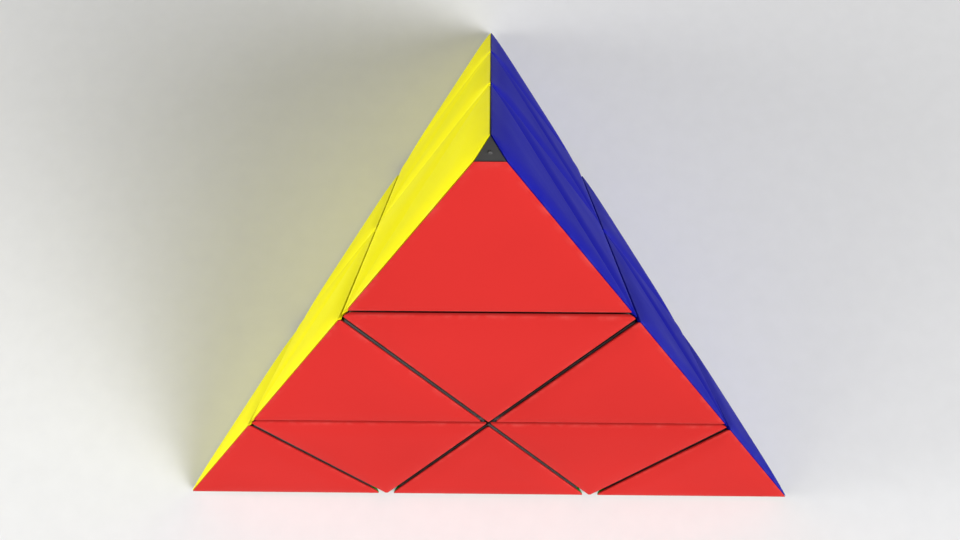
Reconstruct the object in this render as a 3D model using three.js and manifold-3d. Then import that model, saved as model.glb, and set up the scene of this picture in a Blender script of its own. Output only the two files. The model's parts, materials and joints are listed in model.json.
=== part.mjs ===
// A pyramid twisty puzzle: a regular tetrahedron cut into tips, axial bodies and edge bodies
// that turn about the four lines from its centre to its corners.
//
// Millimetres. The origin is the centre of the core, where the four turning axes meet. +Z points
// at the top corner, -Y faces out of the red side, and the puzzle rests on its green side.
//
// Every repeated piece is drawn once, at the top or on the front side, and is carried to its other
// places by the turns that map a tetrahedron onto itself.

import * as THREE from 'three';
import { mergeVertices } from 'three/addons/utils/BufferGeometryUtils.js';
import Module from 'manifold-3d';

const wasm = await Module();
wasm.setup();

// --- driving dimensions -------------------------------------------------------------------------

const EDGE = 100.45; // between the sharp corners; the soft rims of the tiles bring it down to 98
const HEIGHT = EDGE * Math.sqrt(2 / 3);
const FACE_REACH = HEIGHT / 4; // centre to each side
const CORNER_REACH = 3 * FACE_REACH; // centre to each corner
const LAYER_CUT = HEIGHT / 12; // centre to the plane under a turning layer
const TIP_CUT = 5 * HEIGHT / 12; // centre to the plane under a tip
const HALF_GAP = 0.4; // half of the slit between two pieces
const TOP_FLAT = 2.6; // side of the small flat where the top corner would be

const TILE = { thick: 0.85, seat: 0.3, mitre: 0.15, pegRadius: 1.1, pegLength: 1.8, pegPlay: 0.3 };
const CROWN = { width: 5.4, shoulder: 2.3, drop: 0.45, shoulderDrop: 0.15 }; // soft margin of a tile
const BODY_REACH = FACE_REACH - TILE.thick - TILE.seat;

const SHELL = { inner: 12.3, outer: 16.8, root: 16.0, roof: 17.2 }; // where the edge feet slide
const FOOT_CONE = 80; // degrees from an axis to the slit between the feet of two layers
const FOOT_SLIT = 0.7; // degrees, half of that slit
const STEM = { radius: 5.7, start: 11.7, play: 0.4 };
const SPRING = { start: 17.4, end: 26.6, radius: 2.05, wire: 0.35, turns: 4 };
const SCREW = { radius: 1.25, start: 4.6, headRadius: 2.45, headStart: 27, headEnd: 29.3 };
const BORE = { screw: 1.6, spring: 2.8, shoulder: 17.0, thread: 1.55 };
const HUB = { neck: 3.6, flange: 4.5, flangeStart: 36.55, flangeEnd: 38.0 };
const SOCKET = { hole: 3.9, plateEnd: 36.2, radius: 5.0, shoulder: 38.4, end: 41.6 };
const CORE = { ball: 8, arm: 4.2, armEnd: 11.4, threadStart: 4.2 };
const POST_GAP = 0.12; // between the post of the top tip and the tiles around it

const BLOCK = 2.4 * CORNER_REACH; // a block that holds the whole puzzle, to be cut down
const CUTTER = 4 * BLOCK; // a far larger one, for cutting with one of its sides
const ROUND = 30; // sides of a large turned surface
const SMALL_ROUND = 18; // sides of a small one
const PEG_ROUND = 8;

// --- directions ---------------------------------------------------------------------------------

const UP = new THREE.Vector3(0, 0, 1);
const AXES = {
  top: UP,
  left: lowCorner(210),
  right: lowCorner(330),
  back: lowCorner(90),
};
const SIDE_OF = { back: 'front', right: 'left', left: 'right', top: 'base' }; // side opposite a corner

function lowCorner(azimuth) {
  const angle = THREE.MathUtils.degToRad(azimuth);
  const spread = Math.sqrt(8) / 3;
  return new THREE.Vector3(spread * Math.cos(angle), spread * Math.sin(angle), -1 / 3);
}

// The turn of the whole puzzle that carries two corners onto two others.
function turnOnto(fromA, fromB, toA, toB) {
  const from = cornerBasis(AXES[fromA], AXES[fromB]);
  const to = cornerBasis(AXES[toA], AXES[toB]);
  return new THREE.Quaternion().setFromRotationMatrix(to.multiply(from.transpose()));
}

function cornerBasis(first, second) {
  const across = first.clone().cross(second).normalize();
  return new THREE.Matrix4().makeBasis(first, across.clone().cross(first), across);
}

// --- solids -------------------------------------------------------------------------------------

function toSolid(geometry) {
  const bare = geometry.clone();
  bare.deleteAttribute('normal');
  bare.deleteAttribute('uv');
  const merged = mergeVertices(bare, 1e-4);
  const corners = merged.index.array;
  const faces = [];
  for (let i = 0; i < corners.length; i += 3) {
    const [a, b, c] = [corners[i], corners[i + 1], corners[i + 2]];
    if (a !== b && b !== c && c !== a) faces.push(a, b, c);
  }
  return new wasm.Manifold(new wasm.Mesh({
    numProp: 3,
    vertProperties: new Float32Array(merged.attributes.position.array),
    triVerts: new Uint32Array(faces),
  }));
}

function toGeometry(solid) {
  const mesh = solid.getMesh();
  const geometry = new THREE.BufferGeometry();
  geometry.setAttribute('position', new THREE.BufferAttribute(new Float32Array(mesh.vertProperties), 3));
  geometry.setIndex(new THREE.BufferAttribute(new Uint32Array(mesh.triVerts), 1));
  geometry.computeVertexNormals();
  return geometry;
}

// A large block filling the space beyond the plane at a distance from the centre along a direction.
function beyond(direction, distance) {
  const block = new THREE.BoxGeometry(CUTTER, CUTTER, CUTTER);
  block.applyQuaternion(new THREE.Quaternion().setFromUnitVectors(UP, direction));
  const centre = direction.clone().multiplyScalar(distance + CUTTER / 2);
  block.translate(centre.x, centre.y, centre.z);
  return toSolid(block);
}

function wholeBlock() {
  return toSolid(new THREE.BoxGeometry(BLOCK, BLOCK, BLOCK));
}

function keepBelow(solid, direction, distance) {
  return solid.subtract(beyond(direction, distance));
}

function keepAbove(solid, direction, distance) {
  return keepBelow(solid, direction.clone().negate(), -distance);
}

// A turned solid about a direction, from a profile of [radius, distance from the centre] points.
function turned(profile, direction, sides = SMALL_ROUND) {
  const points = profile.map(([radius, along]) => new THREE.Vector2(radius, along));
  const lathe = new THREE.LatheGeometry(points, sides);
  const lean = new THREE.Quaternion().setFromUnitVectors(new THREE.Vector3(0, 1, 0), direction);
  lathe.applyQuaternion(lean);
  return toSolid(lathe);
}

function rod(radius, start, end, direction, sides = SMALL_ROUND) {
  return turned([[0, start], [radius, start], [radius, end], [0, end]], direction, sides);
}

function ball(radius, sides = ROUND) {
  return toSolid(new THREE.SphereGeometry(radius, sides, sides / 2));
}

// All directions closer to an axis than an angle, as a solid cone with a flat far end.
function cone(direction, degrees) {
  const angle = THREE.MathUtils.degToRad(degrees);
  const reach = 3 * SHELL.roof;
  const rim = [reach * Math.sin(angle), reach * Math.cos(angle)];
  return turned([[0, 0], rim, [rim[0], reach], [0, reach]], direction, ROUND);
}

// --- sides of the tetrahedron -------------------------------------------------------------------

// The side opposite a corner faces directly away from it.
function facing(corner) {
  return AXES[corner].clone().negate();
}

// A tetrahedron with its sides moved to a distance from the centre, as the start of a body.
function insideSides(corners, distance) {
  let solid = wholeBlock();
  for (const corner of corners) solid = keepBelow(solid, facing(corner), distance);
  return solid;
}

// The middle of a triangle of the front side, away from the centre of that side towards a corner.
function tileCentre(corner, reach) {
  const outward = facing('back');
  const along = AXES[corner].clone().addScaledVector(outward, -1 / 3).normalize();
  return outward.multiplyScalar(FACE_REACH).addScaledVector(along, reach);
}

const SMALL_TRIANGLE = EDGE / 3 * Math.sqrt(3) / 2; // height of one of the nine triangles of a side
const TILE_CENTRES = {
  tip: tileCentre('top', 4 / 3 * SMALL_TRIANGLE),
  axial: tileCentre('top', 2 / 3 * SMALL_TRIANGLE),
  edge: tileCentre('right', -2 / 3 * SMALL_TRIANGLE),
};

// A peg or its socket, going in from the front side at a tile's centre.
function peg(kind, radius, start, end) {
  const inward = AXES.back;
  const shank = new THREE.CylinderGeometry(radius, radius, end - start, PEG_ROUND);
  shank.applyQuaternion(new THREE.Quaternion().setFromUnitVectors(new THREE.Vector3(0, 1, 0), inward));
  const middle = TILE_CENTRES[kind].clone().addScaledVector(inward, (start + end) / 2);
  shank.translate(middle.x, middle.y, middle.z);
  return toSolid(shank);
}

function pegSocket(kind, turn) {
  const depth = TILE.thick + TILE.pegLength + TILE.pegPlay;
  const socket = peg(kind, TILE.pegRadius + TILE.pegPlay, 0, depth);
  return socket.transform(new THREE.Matrix4().makeRotationFromQuaternion(turn).elements);
}

// --- core, screws and springs -------------------------------------------------------------------

function core() {
  let solid = ball(CORE.ball, SMALL_ROUND);
  for (const axis of Object.values(AXES)) {
    solid = solid.add(rod(CORE.arm, 0, CORE.armEnd, axis));
  }
  for (const axis of Object.values(AXES)) {
    solid = solid.subtract(rod(BORE.thread, CORE.threadStart, 2 * CORE.armEnd, axis));
  }
  return solid;
}

function screw() {
  const profile = [
    [0, SCREW.start],
    [SCREW.radius * 0.6, SCREW.start],
    [SCREW.radius, SCREW.start + 0.7],
    [SCREW.radius, SCREW.headStart],
    [SCREW.headRadius, SCREW.headStart],
    [SCREW.headRadius, SCREW.headEnd - 0.7],
    [SCREW.headRadius - 0.7, SCREW.headEnd],
    [0, SCREW.headEnd],
  ];
  const recess = { width: 0.6, length: 2.8, depth: 1.2 };
  let solid = turned(profile, UP);
  for (const size of [[recess.length, recess.width], [recess.width, recess.length]]) {
    const slot = new THREE.BoxGeometry(size[0], size[1], 2 * recess.depth);
    slot.translate(0, 0, SCREW.headEnd);
    solid = solid.subtract(toSolid(slot));
  }
  return solid;
}

class Helix extends THREE.Curve {
  getPoint(t) {
    const angle = 2 * Math.PI * SPRING.turns * t;
    const along = THREE.MathUtils.lerp(SPRING.start + SPRING.wire, SPRING.end - SPRING.wire, t);
    return new THREE.Vector3(SPRING.radius * Math.cos(angle), SPRING.radius * Math.sin(angle), along);
  }
}

function spring() {
  const section = new THREE.Shape();
  section.absarc(0, 0, SPRING.wire, 0, 2 * Math.PI);
  const wire = new THREE.ExtrudeGeometry(section, {
    curveSegments: 3,
    steps: SPRING.turns * 9,
    extrudePath: new Helix(),
  });
  return toSolid(wire);
}

// --- dark bodies --------------------------------------------------------------------------------

// The body below the top corner, with a stem down to the core and a hub up into the tip.
function axialBody() {
  let solid = insideSides(['left', 'right', 'back'], BODY_REACH);
  solid = keepAbove(solid, UP, LAYER_CUT + HALF_GAP);
  solid = keepBelow(solid, UP, TIP_CUT - HALF_GAP);
  for (const corner of ['left', 'right', 'back']) {
    solid = keepBelow(solid, AXES[corner], LAYER_CUT - HALF_GAP);
  }
  solid = solid.subtract(ball(SHELL.roof));
  solid = solid.add(rod(STEM.radius, STEM.start, SHELL.roof + 2, UP, ROUND));
  const hub = [
    [0, SHELL.roof],
    [HUB.neck, SHELL.roof],
    [HUB.neck, HUB.flangeStart],
    [HUB.flange, HUB.flangeStart],
    [HUB.flange, HUB.flangeStart + 0.5],
    [HUB.neck, HUB.flangeEnd],
    [0, HUB.flangeEnd],
  ];
  solid = solid.add(turned(hub, UP));
  solid = solid.subtract(rod(BORE.screw, 0, 2 * BORE.shoulder, UP));
  solid = solid.subtract(rod(BORE.spring, BORE.shoulder, 2 * HUB.flangeEnd, UP));
  for (const corner of ['back', 'right', 'left']) {
    solid = solid.subtract(pegSocket('axial', turnOnto('top', 'back', 'top', corner)));
  }
  return solid;
}

// The body at the top corner, hollow, so that it turns on the hub of the axial body.
function tipBody() {
  let solid = insideSides(['left', 'right', 'back'], BODY_REACH);
  solid = keepAbove(solid, UP, TIP_CUT + HALF_GAP);
  const hollow = [
    [0, 0],
    [SOCKET.hole, 0],
    [SOCKET.hole, SOCKET.plateEnd],
    [SOCKET.radius, SOCKET.plateEnd],
    [SOCKET.radius, SOCKET.shoulder],
    [0, SOCKET.end],
  ];
  solid = solid.subtract(turned(hollow, UP));
  for (const corner of ['back', 'right', 'left']) {
    solid = solid.subtract(pegSocket('tip', turnOnto('top', 'back', 'top', corner)));
  }
  return solid;
}

const FLAT_END = CORNER_REACH - 3 * CROWN.drop - TOP_FLAT * Math.sqrt(2 / 3);
const FLAT_INRADIUS = TOP_FLAT / Math.sqrt(12);

// Three planes around the top axis, square to the base, one facing each upper side.
function aroundTopAxis() {
  return ['back', 'right', 'left'].map((corner) => {
    const outward = facing(corner);
    return outward.setZ(0).normalize();
  });
}

// The top tip ends in a slim triangular post whose flat end shows between its three tiles.
function topTipBody() {
  let post = wholeBlock();
  for (const outward of aroundTopAxis()) post = keepBelow(post, outward, FLAT_INRADIUS - POST_GAP);
  post = keepAbove(post, UP, SOCKET.end + 4);
  return keepBelow(tipBody().add(post), UP, FLAT_END);
}

// The foot of an edge body: a piece of a thick shell around the core, under its two neighbours.
function edgeFoot() {
  let foot = ball(SHELL.outer).subtract(ball(SHELL.inner));
  for (const corner of ['top', 'left']) {
    foot = foot.intersect(cone(AXES[corner], FOOT_CONE - FOOT_SLIT));
    foot = foot.subtract(rod(STEM.radius + STEM.play, 0, 2 * SHELL.outer, AXES[corner], ROUND));
  }
  for (const corner of ['right', 'back']) {
    foot = foot.subtract(cone(AXES[corner], FOOT_CONE + FOOT_SLIT));
  }
  return foot;
}

// The body between the top and left corners.
function edgeBody() {
  let solid = insideSides(['right', 'back'], BODY_REACH);
  solid = keepAbove(solid, AXES.top, LAYER_CUT + HALF_GAP);
  solid = keepAbove(solid, AXES.left, LAYER_CUT + HALF_GAP);
  solid = solid.subtract(ball(SHELL.root)).add(edgeFoot());
  solid = solid.subtract(pegSocket('edge', new THREE.Quaternion()));
  return solid.subtract(pegSocket('edge', turnOnto('right', 'back', 'back', 'right')));
}

// --- coloured tiles, drawn on the front side ----------------------------------------------------

// One tile: a plate with soft margins and a peg behind. Its rims are cuts square to a turning axis,
// { corner, limit, sign }, and mitres along the edges shared with the sides opposite some corners.
function tile(kind, cuts, mitres) {
  const outward = facing('back');
  let solid = wholeBlock();
  solid = keepBelow(solid, outward, FACE_REACH);
  solid = keepAbove(solid, outward, FACE_REACH - TILE.thick);
  for (const { corner, limit, sign } of cuts) {
    const direction = AXES[corner].clone().multiplyScalar(sign);
    const reach = sign * limit - HALF_GAP;
    solid = keepBelow(solid, direction, reach);
    solid = softMargin(solid, direction, reach);
  }
  for (const corner of ['left', 'right']) {
    const direction = facing(corner).sub(outward).normalize();
    solid = keepBelow(solid, direction, -TILE.mitre);
    if (mitres.includes(corner)) solid = softMargin(solid, direction, -TILE.mitre);
  }
  const shank = peg(kind, TILE.pegRadius, TILE.thick / 2, TILE.thick + TILE.pegLength);
  return solid.add(shank);
}

// Slopes the front surface down in two steps towards the rim cut by a plane.
function softMargin(solid, direction, reach) {
  const outward = facing('back');
  const across = direction.clone().addScaledVector(outward, -direction.dot(outward));
  const rim = (reach - direction.dot(outward) * FACE_REACH) / across.length();
  across.normalize();
  const inner = [rim - CROWN.width, 0];
  const middle = [rim - CROWN.shoulder, CROWN.shoulderDrop];
  const outer = [rim, CROWN.drop];
  for (const [from, to] of [[inner, middle], [middle, outer]]) {
    const slope = (to[1] - from[1]) / (to[0] - from[0]);
    const normal = outward.clone().addScaledVector(across, slope).normalize();
    const onSlope = across.clone().multiplyScalar(from[0]).addScaledVector(outward, FACE_REACH - from[1]);
    solid = keepBelow(solid, normal, normal.dot(onSlope));
  }
  return solid;
}

function tipTile() {
  return tile('tip', [{ corner: 'top', limit: TIP_CUT, sign: -1 }], ['left', 'right']);
}

// The tiles of the top tip end beside its post, level with its flat end.
function topTipTile() {
  const outward = facing('back').setZ(0).normalize();
  const post = keepBelow(beyond(UP, SOCKET.end), outward, FLAT_INRADIUS);
  return keepBelow(tipTile().subtract(post), UP, FLAT_END);
}

function axialTile() {
  return tile('axial', [
    { corner: 'top', limit: TIP_CUT, sign: 1 },
    { corner: 'left', limit: LAYER_CUT, sign: 1 },
    { corner: 'right', limit: LAYER_CUT, sign: 1 },
  ], []);
}

function edgeTile() {
  return tile('edge', [
    { corner: 'top', limit: LAYER_CUT, sign: -1 },
    { corner: 'left', limit: LAYER_CUT, sign: -1 },
  ], ['right']);
}

// --- assembly -----------------------------------------------------------------------------------

const DARK = { color: 0x46474a, roughness: 0.5, metalness: 0 };
const STEEL = { color: 0xb8babd, roughness: 0.3, metalness: 1 };
const SIDE_COLOURS = { front: 0xe6372f, left: 0xf8ee28, right: 0x2d2fae, base: 0x1f9a3c };

const puzzle = new THREE.Group();

function place(name, solid, finish, turn = new THREE.Quaternion()) {
  const mesh = new THREE.Mesh(toGeometry(solid), new THREE.MeshStandardMaterial(finish));
  mesh.name = name;
  mesh.quaternion.copy(turn);
  puzzle.add(mesh);
}

function placeTile(name, solid, side, turn) {
  place(name, solid, { color: SIDE_COLOURS[side], roughness: 0.3, metalness: 0 }, turn);
}

const CORNERS = Object.keys(AXES);
const shapes = {
  screw: screw(),
  spring: spring(),
  axial: axialBody(),
  edge: edgeBody(),
  tips: { top: topTipBody(), low: tipBody() },
  axialTile: axialTile(),
  edgeTile: edgeTile(),
  tipTiles: { top: topTipTile(), low: tipTile() },
};

place('core', core(), DARK);

for (const corner of CORNERS) {
  const others = CORNERS.filter((name) => name !== corner);
  const turn = turnOnto('top', 'back', corner, others[others.length - 1]);
  const height = corner === 'top' ? 'top' : 'low';
  place(`screw_${corner}`, shapes.screw, STEEL, turn);
  place(`spring_${corner}`, shapes.spring, STEEL, turn);
  place(`axial_${corner}`, shapes.axial, DARK, turn);
  place(`tip_${corner}`, shapes.tips[height], DARK, turn);
  for (const opposite of others) {
    const side = SIDE_OF[opposite];
    const tileTurn = turnOnto('top', 'back', corner, opposite);
    placeTile(`tile_${side}_tip_${corner}`, shapes.tipTiles[height], side, tileTurn);
    placeTile(`tile_${side}_axial_${corner}`, shapes.axialTile, side, tileTurn);
  }
}

for (const [index, first] of CORNERS.entries()) {
  for (const second of CORNERS.slice(index + 1)) {
    place(`edge_${first}_${second}`, shapes.edge, DARK, turnOnto('top', 'left', first, second));
    const [third, fourth] = CORNERS.filter((name) => name !== first && name !== second);
    for (const [beside, opposite] of [[third, fourth], [fourth, third]]) {
      const side = SIDE_OF[opposite];
      const turn = turnOnto('right', 'back', beside, opposite);
      placeTile(`tile_${side}_edge_${first}_${second}`, shapes.edgeTile, side, turn);
    }
  }
}

export default puzzle;
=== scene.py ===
"""A pyramid twisty puzzle in coloured and dark plastic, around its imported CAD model.

The frame is the CAD's: the origin is the centre of the core, +Z points at the top corner, and the
front (red) side faces -Y. Shapes are drawn in millimetres and scaled to metres as they are placed.
Every repeated piece is drawn once, at the top or between the top and left corners, and is carried
to its other places by the turns that map a tetrahedron onto itself.
"""

import json
import math

import bmesh
import bpy
import numpy as np
from mathutils import Matrix, Vector


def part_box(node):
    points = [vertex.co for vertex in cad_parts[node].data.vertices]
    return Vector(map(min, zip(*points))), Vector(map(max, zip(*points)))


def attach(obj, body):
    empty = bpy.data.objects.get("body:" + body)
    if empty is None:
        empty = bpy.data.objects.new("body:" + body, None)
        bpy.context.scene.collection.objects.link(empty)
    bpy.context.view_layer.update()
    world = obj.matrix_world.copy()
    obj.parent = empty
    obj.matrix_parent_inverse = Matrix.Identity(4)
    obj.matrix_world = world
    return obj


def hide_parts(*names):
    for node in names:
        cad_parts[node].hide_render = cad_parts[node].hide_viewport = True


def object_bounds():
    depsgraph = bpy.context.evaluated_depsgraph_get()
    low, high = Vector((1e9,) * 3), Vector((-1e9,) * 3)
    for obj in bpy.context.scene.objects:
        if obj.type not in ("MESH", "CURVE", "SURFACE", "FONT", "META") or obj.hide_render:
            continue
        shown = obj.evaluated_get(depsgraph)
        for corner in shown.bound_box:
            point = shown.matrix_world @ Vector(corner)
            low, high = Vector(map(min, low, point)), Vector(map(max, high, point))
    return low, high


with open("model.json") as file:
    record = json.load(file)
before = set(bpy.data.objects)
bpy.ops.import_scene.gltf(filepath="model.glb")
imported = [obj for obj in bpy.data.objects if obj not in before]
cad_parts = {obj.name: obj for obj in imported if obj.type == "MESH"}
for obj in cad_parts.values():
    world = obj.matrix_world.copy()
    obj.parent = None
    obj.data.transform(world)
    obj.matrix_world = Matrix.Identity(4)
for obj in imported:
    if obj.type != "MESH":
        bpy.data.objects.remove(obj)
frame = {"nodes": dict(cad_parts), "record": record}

MM = 0.001
cad_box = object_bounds()

# --- dimensions, in millimetres -----------------------------------------------------------------


def heights(node):
    """Lowest and highest z of a CAD node."""
    low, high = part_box(node)
    return low.z / MM, high.z / MM


REACH = -cad_box[0].z / MM  # centre to each side
LAYER_CUT = REACH / 3  # centre to the plane under a turning layer
TIP_CUT = REACH * 5 / 3  # centre to the plane under a tip
TRIANGLE = REACH * math.sqrt(2)  # height of one of the nine triangles of a side
LAYER_GAP = 0.36  # half of the slit beside a turning layer
TIP_GAP = 0.42  # half of the slit beside a tip
FLAT_END = heights("tip_top")[1] - 0.5  # the small flat where the top corner would be
FLAT_INRADIUS = 0.85  # the three tiles around the flat end this far from the axis
POST_GAP = 0.06

TILE_THICK = 0.85
TILE_SEAT = 0.3  # between the back of a tile and its body
CROWN_WIDTH = 3.9  # the soft margin of a tile
CROWN_DROP = 0.45
RIM_RADIUS = 0.14
MITRE = 0.03  # half of the joint line between two tiles that share an edge
BLUNT = 0.12  # the same for axial tiles, which only come near an edge with a corner
CORNER_RADIUS = 0.14
BACK_CHAMFER = 0.1
PEG_RADIUS = 1.1
PEG_LENGTH = 1.8
PEG_PLAY = 0.3
PEG_FILLET, PEG_BEVEL = 0.2, 0.25

BODY_REACH = REACH - TILE_THICK - TILE_SEAT
BODY_BEVEL = 0.25
SHELL_INNER, SHELL_OUTER, SHELL_ROOT, SHELL_ROOF = 12.3, 16.8, 16.0, 17.2
FOOT_CONE = 80  # degrees from an axis to the slit between the feet of two layers
FOOT_SLIT = 0.7  # degrees, half of that slit
STEM_RADIUS, STEM_PLAY = 5.7, 0.4
STEM_START, HUB_END = heights("axial_top")  # starts as low as the body's lowest corner, in the core
STEM_TOP = SHELL_ROOF + 3
HUB_NECK, HUB_FLANGE = 3.6, 4.5
FLANGE_START, FLANGE_RIM = HUB_END - 1.45, HUB_END - 0.95
BORE_SCREW, BORE_SPRING, BORE_SHOULDER = 1.6, 2.8, 17.0
SOCKET_HOLE, SOCKET_RADIUS, SOCKET_END = 3.9, 5.0, 41.6
SOCKET_LIP = HUB_END - 1.8  # the flange of the hub holds the tip here
SOCKET_FLARE = 0.4
POST_ROOT = SOCKET_END + 4
POST_BEVEL = 0.03
SCREW_START, SCREW_END = heights("screw_top")
SCREW_RADIUS, HEAD_RADIUS, HEAD_HEIGHT = 1.25, 2.45, 2.3
THREAD_PITCH, THREAD_DEPTH, THREAD_RUN = 0.8, 0.22, 0.8
THREAD_ROOT, THREAD_START = SCREW_RADIUS - 0.17, SCREW_START + 0.6
RECESS_WIDE, RECESS_THICK, RECESS_DEEP = 1.4, 0.36, 1.4
SPRING_START, SPRING_END = heights("spring_top")
SPRING_RADIUS, WIRE_RADIUS, SPRING_TURNS = 2.05, 0.35, 6.0
CORE_BALL, CORE_ARM, CORE_BORE, CORE_BORE_START = 8.0, 4.2, 1.55, 4.2
CORE_ARM_END = heights("core")[1]
CORE_FLARE, CORE_BITE = 1.5, 0.25  # the round root of an arm, and how far it sinks into the ball

ROUND = 96  # sides of a turned surface
ARC = 8  # steps along a round profile

UP = Vector((0, 0, 1))


def low_corner(azimuth):
    angle = math.radians(azimuth)
    spread = math.sqrt(8) / 3
    return Vector((spread * math.cos(angle), spread * math.sin(angle), -1 / 3))


AXES = {"top": UP, "left": low_corner(210), "right": low_corner(330), "back": low_corner(90)}
OPPOSITE = {"front": "back", "left": "right", "right": "left", "base": "top"}


def outward(side):
    return -AXES[OPPOSITE[side]]


def basis(first, second):
    across = AXES[first].cross(AXES[second]).normalized()
    return Matrix((AXES[first], across.cross(AXES[first]), across)).transposed()


def turn_onto(from_a, from_b, to_a, to_b):
    """The turn of the whole puzzle that carries two corners onto two others."""
    return basis(to_a, to_b) @ basis(from_a, from_b).transposed()


def tile_centre(side, corner, share):
    """A point of a side, some of its triangles' heights from its centre towards a corner."""
    along = (AXES[corner] - outward(side) / 3).normalized()
    return outward(side) * REACH + along * share * TRIANGLE


# --- materials ----------------------------------------------------------------------------------


class Nodes:
    """A material's node tree, with short ways to add and join nodes."""

    def __init__(self, name):
        self.material = bpy.data.materials.new(name)
        self.material.use_nodes = True
        self.tree = self.material.node_tree
        self.shader = self.tree.nodes["Principled BSDF"]
        self.place = self.add("ShaderNodeTexCoord").outputs["Object"]

    def add(self, kind, **settings):
        node = self.tree.nodes.new(kind)
        for key, value in settings.items():
            setattr(node, key, value)
        return node

    def join(self, source, target):
        self.tree.links.new(source, target)

    def noise(self, scale, detail=3.0, roughness=0.55, distortion=0.0, place=None):
        node = self.add("ShaderNodeTexNoise")
        self.join(place or self.place, node.inputs["Vector"])
        node.inputs["Scale"].default_value = scale
        node.inputs["Detail"].default_value = detail
        node.inputs["Roughness"].default_value = roughness
        node.inputs["Distortion"].default_value = distortion
        return node.outputs["Fac"]

    def turned_place(self, turn, stretch):
        """Object coordinates, turned and stretched, for marks that run along one direction."""
        node = self.add("ShaderNodeMapping")
        self.join(self.place, node.inputs["Vector"])
        node.inputs["Rotation"].default_value = turn
        node.inputs["Scale"].default_value = stretch
        return node.outputs["Vector"]

    def span(self, source, low, high, source_low=0.0, source_high=1.0):
        """Maps a number from one range to another, held inside it."""
        node = self.add("ShaderNodeMapRange")
        self.join(source, node.inputs["Value"])
        node.inputs["From Min"].default_value = source_low
        node.inputs["From Max"].default_value = source_high
        node.inputs["To Min"].default_value = low
        node.inputs["To Max"].default_value = high
        return node.outputs["Result"]

    def math(self, operation, first, second):
        node = self.add("ShaderNodeMath", operation=operation)
        for socket, value in zip(node.inputs, (first, second)):
            if isinstance(value, (int, float)):
                socket.default_value = value
            else:
                self.join(value, socket)
        return node.outputs["Value"]

    def mix(self, amount, first, second):
        node = self.add("ShaderNodeMix", data_type="RGBA")
        self.join(amount, node.inputs["Factor"])
        for socket, value in ((node.inputs[6], first), (node.inputs[7], second)):
            if isinstance(value, tuple):
                socket.default_value = (*value, 1.0)
            else:
                self.join(value, socket)
        return node.outputs[2]

    def bump(self, height, distance, strength=1.0, under=None):
        node = self.add("ShaderNodeBump")
        node.inputs["Strength"].default_value = strength
        node.inputs["Distance"].default_value = distance
        self.join(height, node.inputs["Height"])
        if under is not None:
            self.join(under, node.inputs["Normal"])
        return node.outputs["Normal"]


def linear(red, green, blue):
    """A colour given as it looks on a screen, 0 to 255, as linear light."""

    def channel(value):
        value /= 255
        return value / 12.92 if value <= 0.04045 else ((value + 0.055) / 1.055) ** 2.4

    return (channel(red), channel(green), channel(blue))


def tile_plastic(name, colour, worn):
    """Moulded plastic: faint colour drift, polished rims, hairline scratches and fine texture."""
    n = Nodes(name)
    deep = tuple(0.93 * c for c in colour)
    drift = n.span(n.noise(26, 2), 0.0, 1.0, 0.35, 0.65)
    base = n.mix(drift, colour, deep)
    rim = n.add("ShaderNodeAttribute", attribute_name="rim").outputs["Fac"]
    patches = n.span(n.noise(420, 4, 0.65), 0.0, 0.3, 0.46, 0.66)
    wear = n.math("MULTIPLY", n.span(rim, 0.0, 1.0, 0.93, 1.0), patches)
    n.join(n.mix(wear, base, worn), n.shader.inputs["Base Color"])
    scratches = 0.0
    for turn in ((0.3, 0.2, 0.5), (1.1, 0.7, 2.1)):
        fine = n.noise(60, 3, 0.5, 0.2, n.turned_place(turn, (1, 30, 30)))
        scratches = n.math("ADD", n.span(fine, 0.0, 1.0, 0.7, 0.76), scratches)
    smears = n.span(n.noise(55, 4, 0.6, 0.6), 0.36, 0.46, 0.3, 0.7)
    rough = n.math("ADD", smears, n.math("MULTIPLY", scratches, 0.08))
    rough = n.math("SUBTRACT", rough, n.span(rim, 0.0, 0.06, 0.8, 1.0))
    n.join(rough, n.shader.inputs["Roughness"])
    grain = n.bump(n.noise(4200, 2), 0.004 * MM, 0.5)
    peel = n.bump(n.noise(330, 1), 0.012 * MM, 0.35, grain)
    n.join(n.bump(scratches, -0.003 * MM, 0.5, peel), n.shader.inputs["Normal"])
    n.shader.inputs["Specular IOR Level"].default_value = 0.003
    return n.material


def dark_plastic():
    """Dark grey plastic with the fine grain of an etched mould and a little dust."""
    n = Nodes("dark plastic")
    drift = n.span(n.noise(120, 4), 0.0, 1.0, 0.35, 0.65)
    base = n.mix(drift, linear(64, 63, 62), linear(74, 73, 72))
    dust = n.span(n.noise(1400, 5, 0.75), 0.0, 0.12, 0.6, 0.78)
    n.join(n.mix(dust, base, linear(112, 110, 106)), n.shader.inputs["Base Color"])
    n.join(n.span(n.noise(700, 4), 0.45, 0.62, 0.3, 0.7), n.shader.inputs["Roughness"])
    n.join(n.bump(n.noise(3800, 3), 0.02 * MM, 0.5), n.shader.inputs["Normal"])
    n.shader.inputs["Specular IOR Level"].default_value = 0.4
    return n.material


def steel(name, colour, roughness):
    """Turned or drawn steel, with fine uneven polish."""
    n = Nodes(name)
    dull = tuple(0.8 * c for c in colour)
    base = n.mix(n.span(n.noise(500, 3), 0.0, 1.0, 0.3, 0.7), colour, dull)
    n.join(base, n.shader.inputs["Base Color"])
    n.shader.inputs["Metallic"].default_value = 1.0
    polish = n.span(n.noise(2200, 3), roughness - 0.08, roughness + 0.1, 0.3, 0.7)
    n.join(polish, n.shader.inputs["Roughness"])
    n.join(n.bump(n.noise(3000, 2), 0.01 * MM, 0.4), n.shader.inputs["Normal"])
    return n.material


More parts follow.
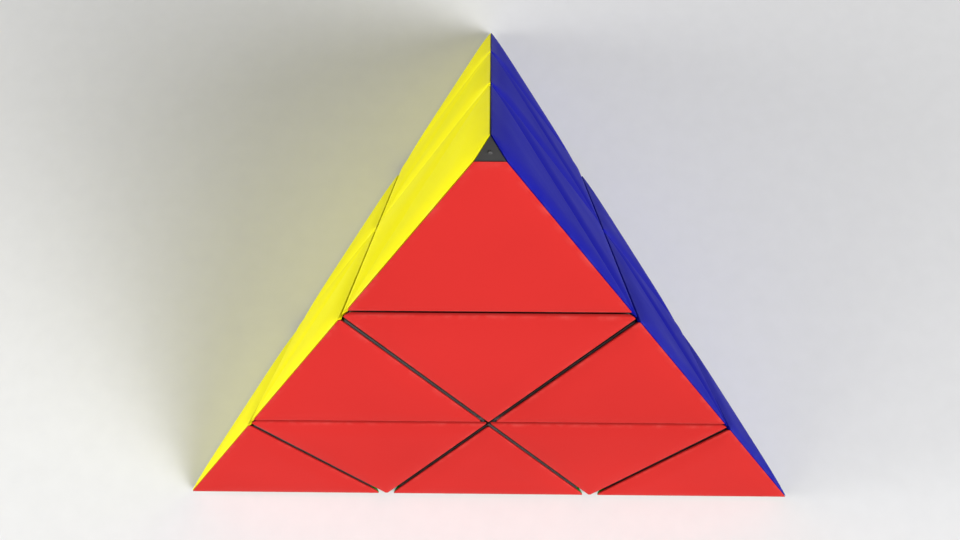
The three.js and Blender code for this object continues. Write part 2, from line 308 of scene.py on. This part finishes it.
MATERIALS = {
    "red_plastic": tile_plastic("red plastic", linear(190, 44, 41), linear(206, 88, 82)),
    "yellow_plastic": tile_plastic("yellow plastic", linear(240, 232, 26), linear(244, 238, 100)),
    "blue_plastic": tile_plastic("blue plastic", linear(24, 26, 162), linear(60, 62, 178)),
    "green_plastic": tile_plastic("green plastic", linear(18, 142, 56), linear(88, 172, 110)),
    "body_plastic": dark_plastic(),
    "screw_steel": steel("screw steel", (0.62, 0.61, 0.58), 0.3),
    "spring_steel": steel("spring steel", (0.45, 0.45, 0.46), 0.38),
}

SLOT_OF = {entry["node"]: entry["material_slot"] for entry in frame["record"]["subparts"]}
BODY_OF = {
    node: body for body, nodes in frame["record"]["behaviour"]["bodies"].items() for node in nodes
}

# --- meshes -------------------------------------------------------------------------------------


def new_mesh(vertices, faces):
    mesh = bpy.data.meshes.new("draft")
    mesh.from_pydata([tuple(v) for v in vertices], [], faces)
    return mesh


def add_object(name, mesh):
    obj = bpy.data.objects.new(name, mesh)
    bpy.context.scene.collection.objects.link(obj)
    return obj


def place(node, suffix, draft, turn=Matrix.Identity(3)):
    """A finished piece from a shape in millimetres, in the place of a CAD node."""
    mesh = draft.copy()
    mesh.transform(turn.to_4x4() @ Matrix.Scale(MM, 4))
    mesh.materials.clear()
    mesh.materials.append(MATERIALS[SLOT_OF[node]])
    mesh.shade_smooth()
    mesh.set_sharp_from_angle(angle=math.radians(32))
    piece = add_object(f"{node}_{suffix}", mesh)
    mesh.name = piece.name
    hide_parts(node)
    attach(piece, BODY_OF[node])


def cut(bm, direction, reach):
    """Keeps what lies below the plane at a distance from the centre along a direction."""
    geometry = bm.verts[:] + bm.edges[:] + bm.faces[:]
    found = bmesh.ops.bisect_plane(
        bm,
        geom=geometry,
        dist=1e-5,
        plane_co=direction * reach,
        plane_no=direction,
        clear_outer=True,
    )
    rim = [item for item in found["geom_cut"] if isinstance(item, bmesh.types.BMEdge)]
    if rim:
        bmesh.ops.contextual_create(bm, geom=rim)


def polyhedron(planes, bevel=BODY_BEVEL):
    """The space below some planes, with its edges rounded."""
    bm = bmesh.new()
    bmesh.ops.create_cube(bm, size=8 * REACH)
    for direction, reach in planes:
        cut(bm, direction, reach)
    bmesh.ops.remove_doubles(bm, verts=bm.verts, dist=1e-4)
    bmesh.ops.recalc_face_normals(bm, faces=bm.faces)
    bmesh.ops.bevel(bm, geom=bm.edges, offset=bevel, segments=3, profile=0.5, affect="EDGES")
    mesh = bpy.data.meshes.new("draft")
    bm.to_mesh(mesh)
    bm.free()
    return mesh


def boolean(first, second, operation):
    """Joins, cuts or intersects two closed meshes."""
    base = add_object("first", first)
    tool = add_object("second", second)
    modifier = base.modifiers.new("join", "BOOLEAN")
    modifier.object = tool
    modifier.operation = operation
    modifier.solver = "EXACT"
    done = base.evaluated_get(bpy.context.evaluated_depsgraph_get())
    mesh = bpy.data.meshes.new_from_object(done)
    bpy.data.objects.remove(base)
    bpy.data.objects.remove(tool)
    bm = bmesh.new()
    bm.from_mesh(mesh)
    bmesh.ops.remove_doubles(bm, verts=bm.verts, dist=1e-4)
    bm.to_mesh(mesh)
    bm.free()
    return mesh


def rounded(profile, radius, steps=4):
    """A profile with its inner corners rounded."""
    points = [Vector(p) for p in profile]
    done = [points[0]]
    for before, corner, after in zip(points, points[1:], points[2:]):
        back, ahead = before - corner, after - corner
        reach = radius / math.tan(back.angle(ahead) / 2)
        reach = min(reach, 0.45 * back.length, 0.45 * ahead.length)
        start = corner + back.normalized() * reach
        end = corner + ahead.normalized() * reach
        for k in range(steps + 1):
            t = k / steps
            done.append(start * (1 - t) ** 2 + corner * 2 * t * (1 - t) + end * t**2)
    done.append(points[-1])
    return done


def ring_faces(rings, sides):
    """Faces of a solid with one end point, then rings of points, then the other end point."""
    last = rings * sides + 1
    faces = []
    for k in range(sides):
        j = (k + 1) % sides
        faces.append((0, 1 + j, 1 + k))
        for i in range(rings - 1):
            low, high = 1 + i * sides, 1 + (i + 1) * sides
            faces.append((low + k, low + j, high + j, high + k))
        top = last - sides
        faces.append((top + k, top + j, last))
    return faces


def turned(profile, direction=UP, sides=ROUND):
    """A turned solid about a direction, from (radius, distance from the centre) points."""
    lean = UP.rotation_difference(direction).to_matrix()
    rings = profile[1:-1]
    angles = [2 * math.pi * k / sides for k in range(sides)]
    vertices = [(0, 0, profile[0][1])]
    vertices += [(r * math.cos(a), r * math.sin(a), z) for r, z in rings for a in angles]
    vertices.append((0, 0, profile[-1][1]))
    return new_mesh([lean @ Vector(v) for v in vertices], ring_faces(len(rings), sides))


def rod(radius, start, end, direction=UP, rounding=0.0):
    profile = [(0, start), (radius, start), (radius, end), (0, end)]
    return turned(rounded(profile, rounding) if rounding else profile, direction)


def ball(radius):
    steps = ROUND // 2
    turns = [math.pi * k / steps for k in range(steps + 1)]
    return turned([(radius * math.sin(t), -radius * math.cos(t)) for t in turns])


def cone(direction, degrees):
    """All directions closer to an axis than an angle."""
    angle = math.radians(degrees)
    reach = 3 * SHELL_ROOF
    rim = (reach * math.sin(angle), reach * math.cos(angle))
    return turned([(0, 0), rim, (rim[0], reach), (0, reach)], direction)


def peg_socket(side, corner, share):
    """The hole for a tile's peg, going in from a side."""
    depth = TILE_THICK + PEG_LENGTH + PEG_PLAY
    hole = rod(PEG_RADIUS + PEG_PLAY, -depth, 0, outward(side), 0.15)
    hole.transform(Matrix.Translation(tile_centre(side, corner, share)))
    return hole


# --- core, screws and springs -------------------------------------------------------------------


def build_core():
    """A ball with four arms, each with a flared root and a bore for its screw."""
    across = CORE_ARM + CORE_FLARE
    lift = math.sqrt((CORE_BALL + CORE_FLARE - CORE_BITE) ** 2 - across**2)
    lean = math.atan2(lift, across)
    curve = []
    for k in range(ARC + 1):
        angle = math.pi + lean * (1 - k / ARC)
        out = across + CORE_FLARE * math.cos(angle)
        curve.append((out, lift + CORE_FLARE * math.sin(angle)))
    mouth = [curve[-1], (CORE_ARM, CORE_ARM_END), (CORE_BORE + 0.5, CORE_ARM_END)]
    arm_end = rounded(mouth, 0.4)[1:]
    sink = CORE_ARM_END - 0.35
    profile = [(0, 1), (curve[0][0], 1)] + curve + arm_end + [(CORE_BORE + 0.15, sink), (0, sink)]
    bore = [(0, CORE_BORE_START), (CORE_BORE, CORE_BORE_START + 1)]
    bore += [(CORE_BORE, CORE_ARM_END + 0.4), (0, CORE_ARM_END + 0.4)]
    mesh = ball(CORE_BALL)
    for axis in AXES.values():
        mesh = boolean(mesh, turned(profile, axis), "UNION")
    for axis in AXES.values():
        mesh = boolean(mesh, turned(bore, axis), "DIFFERENCE")
    return mesh


def thread_ridge(along, angle):
    """How far the thread stands out of the shank, running out to nothing at both ends."""
    phase = (along / THREAD_PITCH - angle / (2 * math.pi)) % 1
    run_in = max(0, (along - THREAD_START) / THREAD_RUN)
    run_out = max(0, (CORE_ARM_END + 1 - along) / THREAD_RUN)
    return THREAD_DEPTH * min(1, run_in, run_out) * max(0, 1 - abs(phase - 0.5) * 3.4)


def build_screw():
    """A pan-head screw with a real thread and a cross recess."""
    sides, steps = 48, 110
    shank = SCREW_RADIUS - 0.05
    head_start = SCREW_END - HEAD_HEIGHT
    head_edge = 0.5
    thread_end = CORE_ARM_END + 1.2
    rings = [(0.35, SCREW_START), (0.8, SCREW_START + 0.3)]
    rings += [(THREAD_ROOT, z) for z in np.linspace(THREAD_START, thread_end, steps)]
    rings += [(shank, thread_end + 0.25), (shank, head_start - 0.2)]
    rings.append((SCREW_RADIUS + 0.15, head_start))
    rings += [(HEAD_RADIUS - 0.15, head_start), (HEAD_RADIUS, head_start + 0.15)]
    for k in range(ARC + 1):
        angle = math.radians(10 * k)
        rise = (HEAD_HEIGHT - head_edge) * math.sin(angle)
        rings.append((HEAD_RADIUS * math.cos(angle) ** 0.6, head_start + head_edge + rise))
    rings.append((0.25, SCREW_END))
    vertices = [(0, 0, SCREW_START)]
    for radius, z in rings:
        for k in range(sides):
            angle = 2 * math.pi * k / sides
            r = radius + (thread_ridge(z, angle) if radius == THREAD_ROOT else 0)
            vertices.append((r * math.cos(angle), r * math.sin(angle), z))
    vertices.append((0, 0, SCREW_END))
    return cross_recess(new_mesh(vertices, ring_faces(len(rings), sides)))


def cross_recess(mesh):
    """Cuts a cross-shaped recess that narrows downwards into the head of a screw."""
    square = ((-1, -1), (1, -1), (1, 1), (-1, 1))
    box = [(0, 1, 2, 3), (7, 6, 5, 4)]
    box += [(k, k + 4, (k + 1) % 4 + 4, (k + 1) % 4) for k in range(4)]
    for turn in (0, 90):
        corners = [(x * RECESS_WIDE, y * RECESS_THICK, SCREW_END + 0.2) for x, y in square]
        corners += [(x * 0.3, y * 0.25, SCREW_END - RECESS_DEEP) for x, y in square]
        wing = new_mesh(corners, box)
        wing.transform(Matrix.Rotation(math.radians(turn), 4, "Z"))
        mesh = boolean(mesh, wing, "DIFFERENCE")
    return mesh


def build_spring():
    """A compression spring with a closed coil at each end."""
    steps, sides = 56, 12
    count = int(SPRING_TURNS * steps)
    free = SPRING_END - SPRING_START - 2 * WIRE_RADIUS
    dead = 2 * WIRE_RADIUS * 1.03
    centres = []
    for k in range(count + 1):
        turn = SPRING_TURNS * k / count
        open_share = min(1, max(0, (turn - 1) / (SPRING_TURNS - 2)))
        rise = dead * (min(turn, 1) + max(0, turn - SPRING_TURNS + 1))
        along = SPRING_START + WIRE_RADIUS + rise + (free - 2 * dead) * open_share
        angle = 2 * math.pi * turn
        level = Vector((SPRING_RADIUS * math.cos(angle), SPRING_RADIUS * math.sin(angle), 0))
        centres.append(level + UP * along)
    vertices, faces = [], []
    for k, centre in enumerate(centres):
        ahead = (centres[min(k + 1, count)] - centres[max(k - 1, 0)]).normalized()
        side = Vector((centre.x, centre.y, 0)).normalized()
        up = ahead.cross(side).normalized()
        for i in range(sides):
            angle = 2 * math.pi * i / sides
            vertices.append(centre + WIRE_RADIUS * (math.cos(angle) * side + math.sin(angle) * up))
    for k in range(count):
        for i in range(sides):
            j = (i + 1) % sides
            faces.append((k * sides + i, k * sides + j, (k + 1) * sides + j, (k + 1) * sides + i))
    faces.append(tuple(reversed(range(sides))))
    faces.append(tuple(range(count * sides, (count + 1) * sides)))
    mesh = new_mesh(vertices, faces)
    bm = bmesh.new()
    bm.from_mesh(mesh)
    bmesh.ops.recalc_face_normals(bm, faces=bm.faces)
    bm.to_mesh(mesh)
    bm.free()
    return mesh


# --- dark bodies --------------------------------------------------------------------------------

UPPER_SIDES = ("front", "left", "right")
TILE_PLACES = {"tip": 4 / 3, "axial": 2 / 3, "edge": -2 / 3}  # from a side's centre, see tile_centre
LOW_CORNERS = ("left", "right", "back")


def build_axial():
    """The body below the top corner, with a stem down to the core and a hub up into the tip."""
    planes = [(outward(side), BODY_REACH) for side in UPPER_SIDES]
    planes += [(-UP, -LAYER_CUT - LAYER_GAP), (UP, TIP_CUT - TIP_GAP)]
    planes += [(AXES[corner], LAYER_CUT - LAYER_GAP) for corner in LOW_CORNERS]
    mesh = boolean(polyhedron(planes), ball(SHELL_ROOF), "DIFFERENCE")
    stem = [(0, STEM_START), (STEM_RADIUS, STEM_START), (STEM_RADIUS, STEM_TOP)]
    stem += [(HUB_NECK, STEM_TOP), (HUB_NECK, FLANGE_START), (HUB_FLANGE, FLANGE_START)]
    stem += [(HUB_FLANGE, FLANGE_RIM), (HUB_NECK, HUB_END), (0, HUB_END)]
    mesh = boolean(mesh, turned(rounded(stem, 0.2)), "UNION")
    bore = [(0, 0), (BORE_SCREW, 0), (BORE_SCREW, BORE_SHOULDER), (BORE_SPRING, BORE_SHOULDER)]
    bore += [(BORE_SPRING, HUB_END + 1), (0, HUB_END + 1)]
    mesh = boolean(mesh, turned(rounded(bore, 0.15)), "DIFFERENCE")
    for side in UPPER_SIDES:
        mesh = boolean(mesh, peg_socket(side, "top", TILE_PLACES["axial"]), "DIFFERENCE")
    return mesh


def build_tip():
    """The body at a corner, hollow, so that it turns on the hub of the axial body."""
    planes = [(outward(side), BODY_REACH) for side in UPPER_SIDES]
    planes.append((-UP, -TIP_CUT - TIP_GAP))
    mouth, mouth_radius = TIP_CUT + TIP_GAP, SOCKET_HOLE + SOCKET_FLARE
    hollow = [(0, 0), (mouth_radius, 0), (mouth_radius, mouth)]
    hollow += [(SOCKET_HOLE, mouth + SOCKET_FLARE), (SOCKET_HOLE, SOCKET_LIP)]
    hollow += [(SOCKET_RADIUS, SOCKET_LIP), (SOCKET_RADIUS, HUB_END + 0.4), (0, SOCKET_END)]
    mesh = boolean(polyhedron(planes), turned(hollow), "DIFFERENCE")
    for side in UPPER_SIDES:
        mesh = boolean(mesh, peg_socket(side, "top", TILE_PLACES["tip"]), "DIFFERENCE")
    return mesh


def build_top_tip(tip):
    """The same with a slim triangular post, whose flat end shows between its three tiles."""
    planes = [(UP, FLAT_END), (-UP, -POST_ROOT)]
    for side in UPPER_SIDES:
        level = outward(side)
        level.z = 0
        planes.append((level.normalized(), FLAT_INRADIUS - POST_GAP))
    return boolean(tip.copy(), polyhedron(planes, POST_BEVEL), "UNION")


def build_edge():
    """The body between the top and left corners, with a foot that slides around the core."""
    planes = [(outward("front"), BODY_REACH), (outward("left"), BODY_REACH)]
    planes += [(-AXES[corner], -LAYER_CUT - LAYER_GAP) for corner in ("top", "left")]
    mesh = boolean(polyhedron(planes), ball(SHELL_ROOT), "DIFFERENCE")
    mesh = boolean(mesh, build_foot(), "UNION")
    mesh = boolean(mesh, peg_socket("front", "right", TILE_PLACES["edge"]), "DIFFERENCE")
    return boolean(mesh, peg_socket("left", "back", TILE_PLACES["edge"]), "DIFFERENCE")


def build_foot():
    """A piece of a thick shell around the core, under its two neighbours."""
    foot = boolean(ball(SHELL_OUTER), cone(AXES["top"], FOOT_CONE - FOOT_SLIT), "INTERSECT")
    foot = boolean(foot, cone(AXES["left"], FOOT_CONE - FOOT_SLIT), "INTERSECT")
    foot = boolean(foot, ball(SHELL_INNER), "DIFFERENCE")
    for corner in ("right", "back"):
        foot = boolean(foot, cone(AXES[corner], FOOT_CONE + FOOT_SLIT), "DIFFERENCE")
    for corner in ("top", "left"):
        groove = rod(STEM_RADIUS + STEM_PLAY, 0, 2 * SHELL_OUTER, AXES[corner])
        foot = boolean(foot, groove, "DIFFERENCE")
    return foot


# --- tiles --------------------------------------------------------------------------------------

SIDE_STEPS = 28  # points along a long rim of a tile
SHORT_STEPS = 3  # and along a blunted corner
ARC_STEPS = 5  # and around a corner
RIM_START = 10  # degrees, where the rounding of the rim takes over from the crown
CROWN_SHARES = [1 - 0.011 * k * (1 + 0.16 * k) for k in range(1, 21)]


class Side:
    """A side of the tetrahedron as a drawing plane: lines on it, and back to space."""

    def __init__(self, side):
        self.normal = outward(side)
        self.across = self.normal.orthogonal().normalized()
        self.up = self.normal.cross(self.across)

    def line(self, direction, reach, depth):
        """Where the plane direction . p = reach meets this side at a depth: (2D normal, reach)."""
        flat = np.array((direction.dot(self.across), direction.dot(self.up)))
        size = np.linalg.norm(flat)
        inside = reach - direction.dot(self.normal) * (REACH - depth)
        return flat / size, inside / size

    def flat(self, point):
        return np.array((point.dot(self.across), point.dot(self.up)))

    def point(self, place, depth):
        return place[0] * self.across + place[1] * self.up + (REACH - depth) * self.normal


def tile_walls(side, kind, corners):
    """The planes around a tile: (outward direction, reach, whether the front slopes down to it)."""
    others = [name for name in AXES if name != OPPOSITE[side]]
    walls = []
    if kind == "tip":
        walls.append((-AXES[corners[0]], -TIP_CUT - TIP_GAP, True))
    if kind == "edge":
        walls += [(-AXES[name], -LAYER_CUT - LAYER_GAP, True) for name in corners]
    if kind == "axial":
        walls.append((AXES[corners[0]], TIP_CUT - TIP_GAP, True))
        beside = [name for name in others if name != corners[0]]
        walls += [(AXES[name], LAYER_CUT - LAYER_GAP, True) for name in beside]
    if kind == "tip" and corners[0] == "top":
        level = outward(side)
        level.z = 0
        walls.append((-level.normalized(), -FLAT_INRADIUS, True))
    for name in others:
        if name not in corners:
            mitre = (-AXES[name] - outward(side)).normalized()
            walls.append((mitre, -BLUNT, False) if kind == "axial" else (mitre, -MITRE, True))
    return walls


def ring(lines, inset):
    """Points around the outline inside some lines, counterclockwise, with rounded corners."""
    lines = sorted(lines, key=lambda line: math.atan2(line[0][1], line[0][0]))
    radius = max(CORNER_RADIUS - inset, 0.02)
    following = lines[1:] + lines[:1]
    corners = []
    for (a, reach_a), (b, reach_b) in zip(lines, following):
        reaches = np.array((reach_a, reach_b)) - inset - radius
        corners.append(np.linalg.solve(np.array((a, b)), reaches))
    points = []
    for i, corner in enumerate(corners):
        start = math.atan2(lines[i][0][1], lines[i][0][0])
        sweep = (math.atan2(following[i][0][1], following[i][0][0]) - start) % (2 * math.pi)
        for k in range(ARC_STEPS):
            angle = start + sweep * k / ARC_STEPS
            points.append(corner + radius * np.array((math.cos(angle), math.sin(angle))))
        ahead = corners[(i + 1) % len(corners)]
        steps = SIDE_STEPS if np.linalg.norm(ahead - corner) > 6 else SHORT_STEPS
        share = (1 - np.cos(np.linspace(0, math.pi, steps, endpoint=False))) / 2
        points += list(corner + radius * following[i][0] + (ahead - corner) * share[:, None])
    return np.array(points)


def crown_drop(points, lines):
    """How far the front lies below the side's plane: nothing in the middle, most at the rim."""
    distances = np.array([np.maximum(reach - points @ normal, 1e-4) for normal, reach in lines])
    soft = (distances**-3.0).sum(axis=0) ** (-1 / 3.0)
    return CROWN_DROP * np.clip(1 - soft / CROWN_WIDTH, 0, 1) ** 2


def build_tile(node):
    _, name, kind, *corners = node.split("_")
    side = Side(name)
    walls = tile_walls(name, kind, corners)
    at_rim = [side.line(direction, reach, CROWN_DROP) for direction, reach, _ in walls]
    start = math.radians(RIM_START)
    first_inset = RIM_RADIUS * (1 - math.sin(start))
    edge = ring(at_rim, first_inset)
    sloping = [line for line, wall in zip(at_rim, walls) if wall[2]]
    soft = [(normal, reach - first_inset) for normal, reach in sloping]
    pointer = corners[0]
    if kind == "edge":
        pointer = next(c for c in AXES if c != OPPOSITE[name] and c not in corners)
    middle = side.flat(tile_centre(name, pointer, TILE_PLACES[kind]))

    rings = []
    rims = []
    for share in reversed(CROWN_SHARES):
        points = middle + (edge - middle) * share
        rings.append([side.point(p, d) for p, d in zip(points, crown_drop(points, soft))])
        rims.append(share)
    for turn in np.linspace(start, math.pi / 2, 5):
        depth = CROWN_DROP + RIM_RADIUS * (math.cos(start) - math.cos(turn))
        lines = [side.line(direction, reach, depth) for direction, reach, _ in walls]
        points = ring(lines, RIM_RADIUS * (1 - math.sin(turn)))
        rings.append([side.point(p, depth) for p in points])
        rims.append(1.0)
    for depth, inset in ((TILE_THICK - BACK_CHAMFER, 0), (TILE_THICK, BACK_CHAMFER)):
        lines = [side.line(direction, reach, depth) for direction, reach, _ in walls]
        back = ring(lines, inset)
        rings.append([side.point(p, depth) for p in back])
        rims.append(0.5)
    spokes = back - middle
    spokes /= np.linalg.norm(spokes, axis=1)[:, None]
    end = TILE_THICK + PEG_LENGTH
    peg = [(PEG_RADIUS + PEG_FILLET, TILE_THICK), (PEG_RADIUS, TILE_THICK + PEG_FILLET)]
    peg += [(PEG_RADIUS, end - PEG_BEVEL), (PEG_RADIUS - PEG_BEVEL, end)]
    for radius, depth in peg:
        rings.append([side.point(p, depth) for p in middle + spokes * radius])
        rims.append(0.0)

    count = len(edge)
    crown_top = side.point(middle, crown_drop(middle[None, :], soft)[0])
    vertices = [crown_top] + [p for points in rings for p in points] + [side.point(middle, end)]
    faces = []
    for i in range(count):
        j = (i + 1) % count
        faces.append((0, 1 + i, 1 + j))
        for k in range(len(rings) - 1):
            near, far = 1 + k * count, 1 + (k + 1) * count
            faces.append((near + i, far + i, far + j, near + j))
        last = 1 + (len(rings) - 1) * count
        faces.append((last + i, len(vertices) - 1, last + j))
    mesh = new_mesh(vertices, faces)
    values = np.concatenate(([0.0], np.repeat(rims, count), [0.0])).astype(np.float32)
    mesh.attributes.new("rim", "FLOAT", "POINT").data.foreach_set("value", values)
    return mesh


# --- assembly -----------------------------------------------------------------------------------

place("core", "moulded", build_core())

screw = build_screw()
spring = build_spring()
axial = build_axial()
tip = build_tip()
edge_body = build_edge()
top_tip = build_top_tip(tip)
for corner in AXES:
    others = [name for name in AXES if name != corner]
    turn = turn_onto("top", "back", corner, others[-1])
    place(f"screw_{corner}", "threaded", screw, turn)
    place(f"spring_{corner}", "wound", spring, turn)
    place(f"axial_{corner}", "moulded", axial, turn)
    place(f"tip_{corner}", "moulded", top_tip if corner == "top" else tip, turn)

for node in sorted(frame["nodes"]):
    if node.startswith("edge_"):
        place(node, "moulded", edge_body, turn_onto("top", "left", *node.split("_")[1:]))
    if node.startswith("tile_"):
        place(node, "moulded", build_tile(node))

# --- camera, floor and light --------------------------------------------------------------------


def add_camera():
    """The camera looks almost straight down; its turn is an axis as long as the angle in radians."""
    place_in_mm = Vector((-0.03, -27.79, 124.67))
    turn = Vector((0.25475, 0.00993, 0.00795))
    data = bpy.data.cameras.new("camera")
    data.lens = 31.78
    data.sensor_width = 36
    data.clip_start = 0.005
    camera = add_object("camera", data)
    camera.location = place_in_mm * MM
    camera.rotation_mode = "QUATERNION"
    camera.rotation_quaternion = Matrix.Rotation(turn.length, 3, turn).to_quaternion()
    bpy.context.scene.camera = camera


def add_floor():
    size = 3.0
    n = Nodes("floor")
    speck = n.span(n.noise(300, 4), 0.0, 1.0, 0.3, 0.7)
    n.join(n.mix(speck, (0.79, 0.79, 0.79), (0.81, 0.81, 0.81)), n.shader.inputs["Base Color"])
    n.shader.inputs["Roughness"].default_value = 0.7
    n.shader.inputs["Specular IOR Level"].default_value = 0.2
    corners = [(-size, -size), (size, -size), (size, size), (-size, size)]
    level = (-REACH - 0.02) * MM
    mesh = new_mesh([(x, y, level) for x, y in corners], [(0, 1, 2, 3)])
    mesh.materials.append(n.material)
    add_object("floor", mesh)


def add_area_light(name, azimuth, elevation, distance, size, power):
    """A soft light aimed at the centre, placed by two angles in degrees and metres."""
    data = bpy.data.lights.new(name, "AREA")
    data.size = size
    data.energy = power
    around, up = math.radians(azimuth), math.radians(elevation)
    level = Vector((math.cos(around), math.sin(around), 0))
    light = add_object(name, data)
    light.location = distance * (level * math.cos(up) + UP * math.sin(up))
    light.rotation_euler = (-light.location).to_track_quat("-Z", "Y").to_euler()


def add_light():
    world = bpy.data.worlds.new("studio")
    world.use_nodes = True
    world.node_tree.nodes["Background"].inputs["Color"].default_value = (1, 1, 1, 1)
    world.node_tree.nodes["Background"].inputs["Strength"].default_value = 0.1
    bpy.context.scene.world = world
    add_area_light("key", -45, 32, 1.0, 0.66, 8.0)
    add_area_light("right", -30, 20, 1.0, 0.66, 6.4)
    add_area_light("left", -175, 7, 0.6, 0.25, 3.5)
    add_area_light("near_left", -140, 20, 0.35, 0.2, 0.3)
    add_area_light("above", -90, 80, 0.5, 0.3, 0.35)


add_camera()
add_floor()
add_light()
bpy.context.scene.view_settings.view_transform = "Standard"
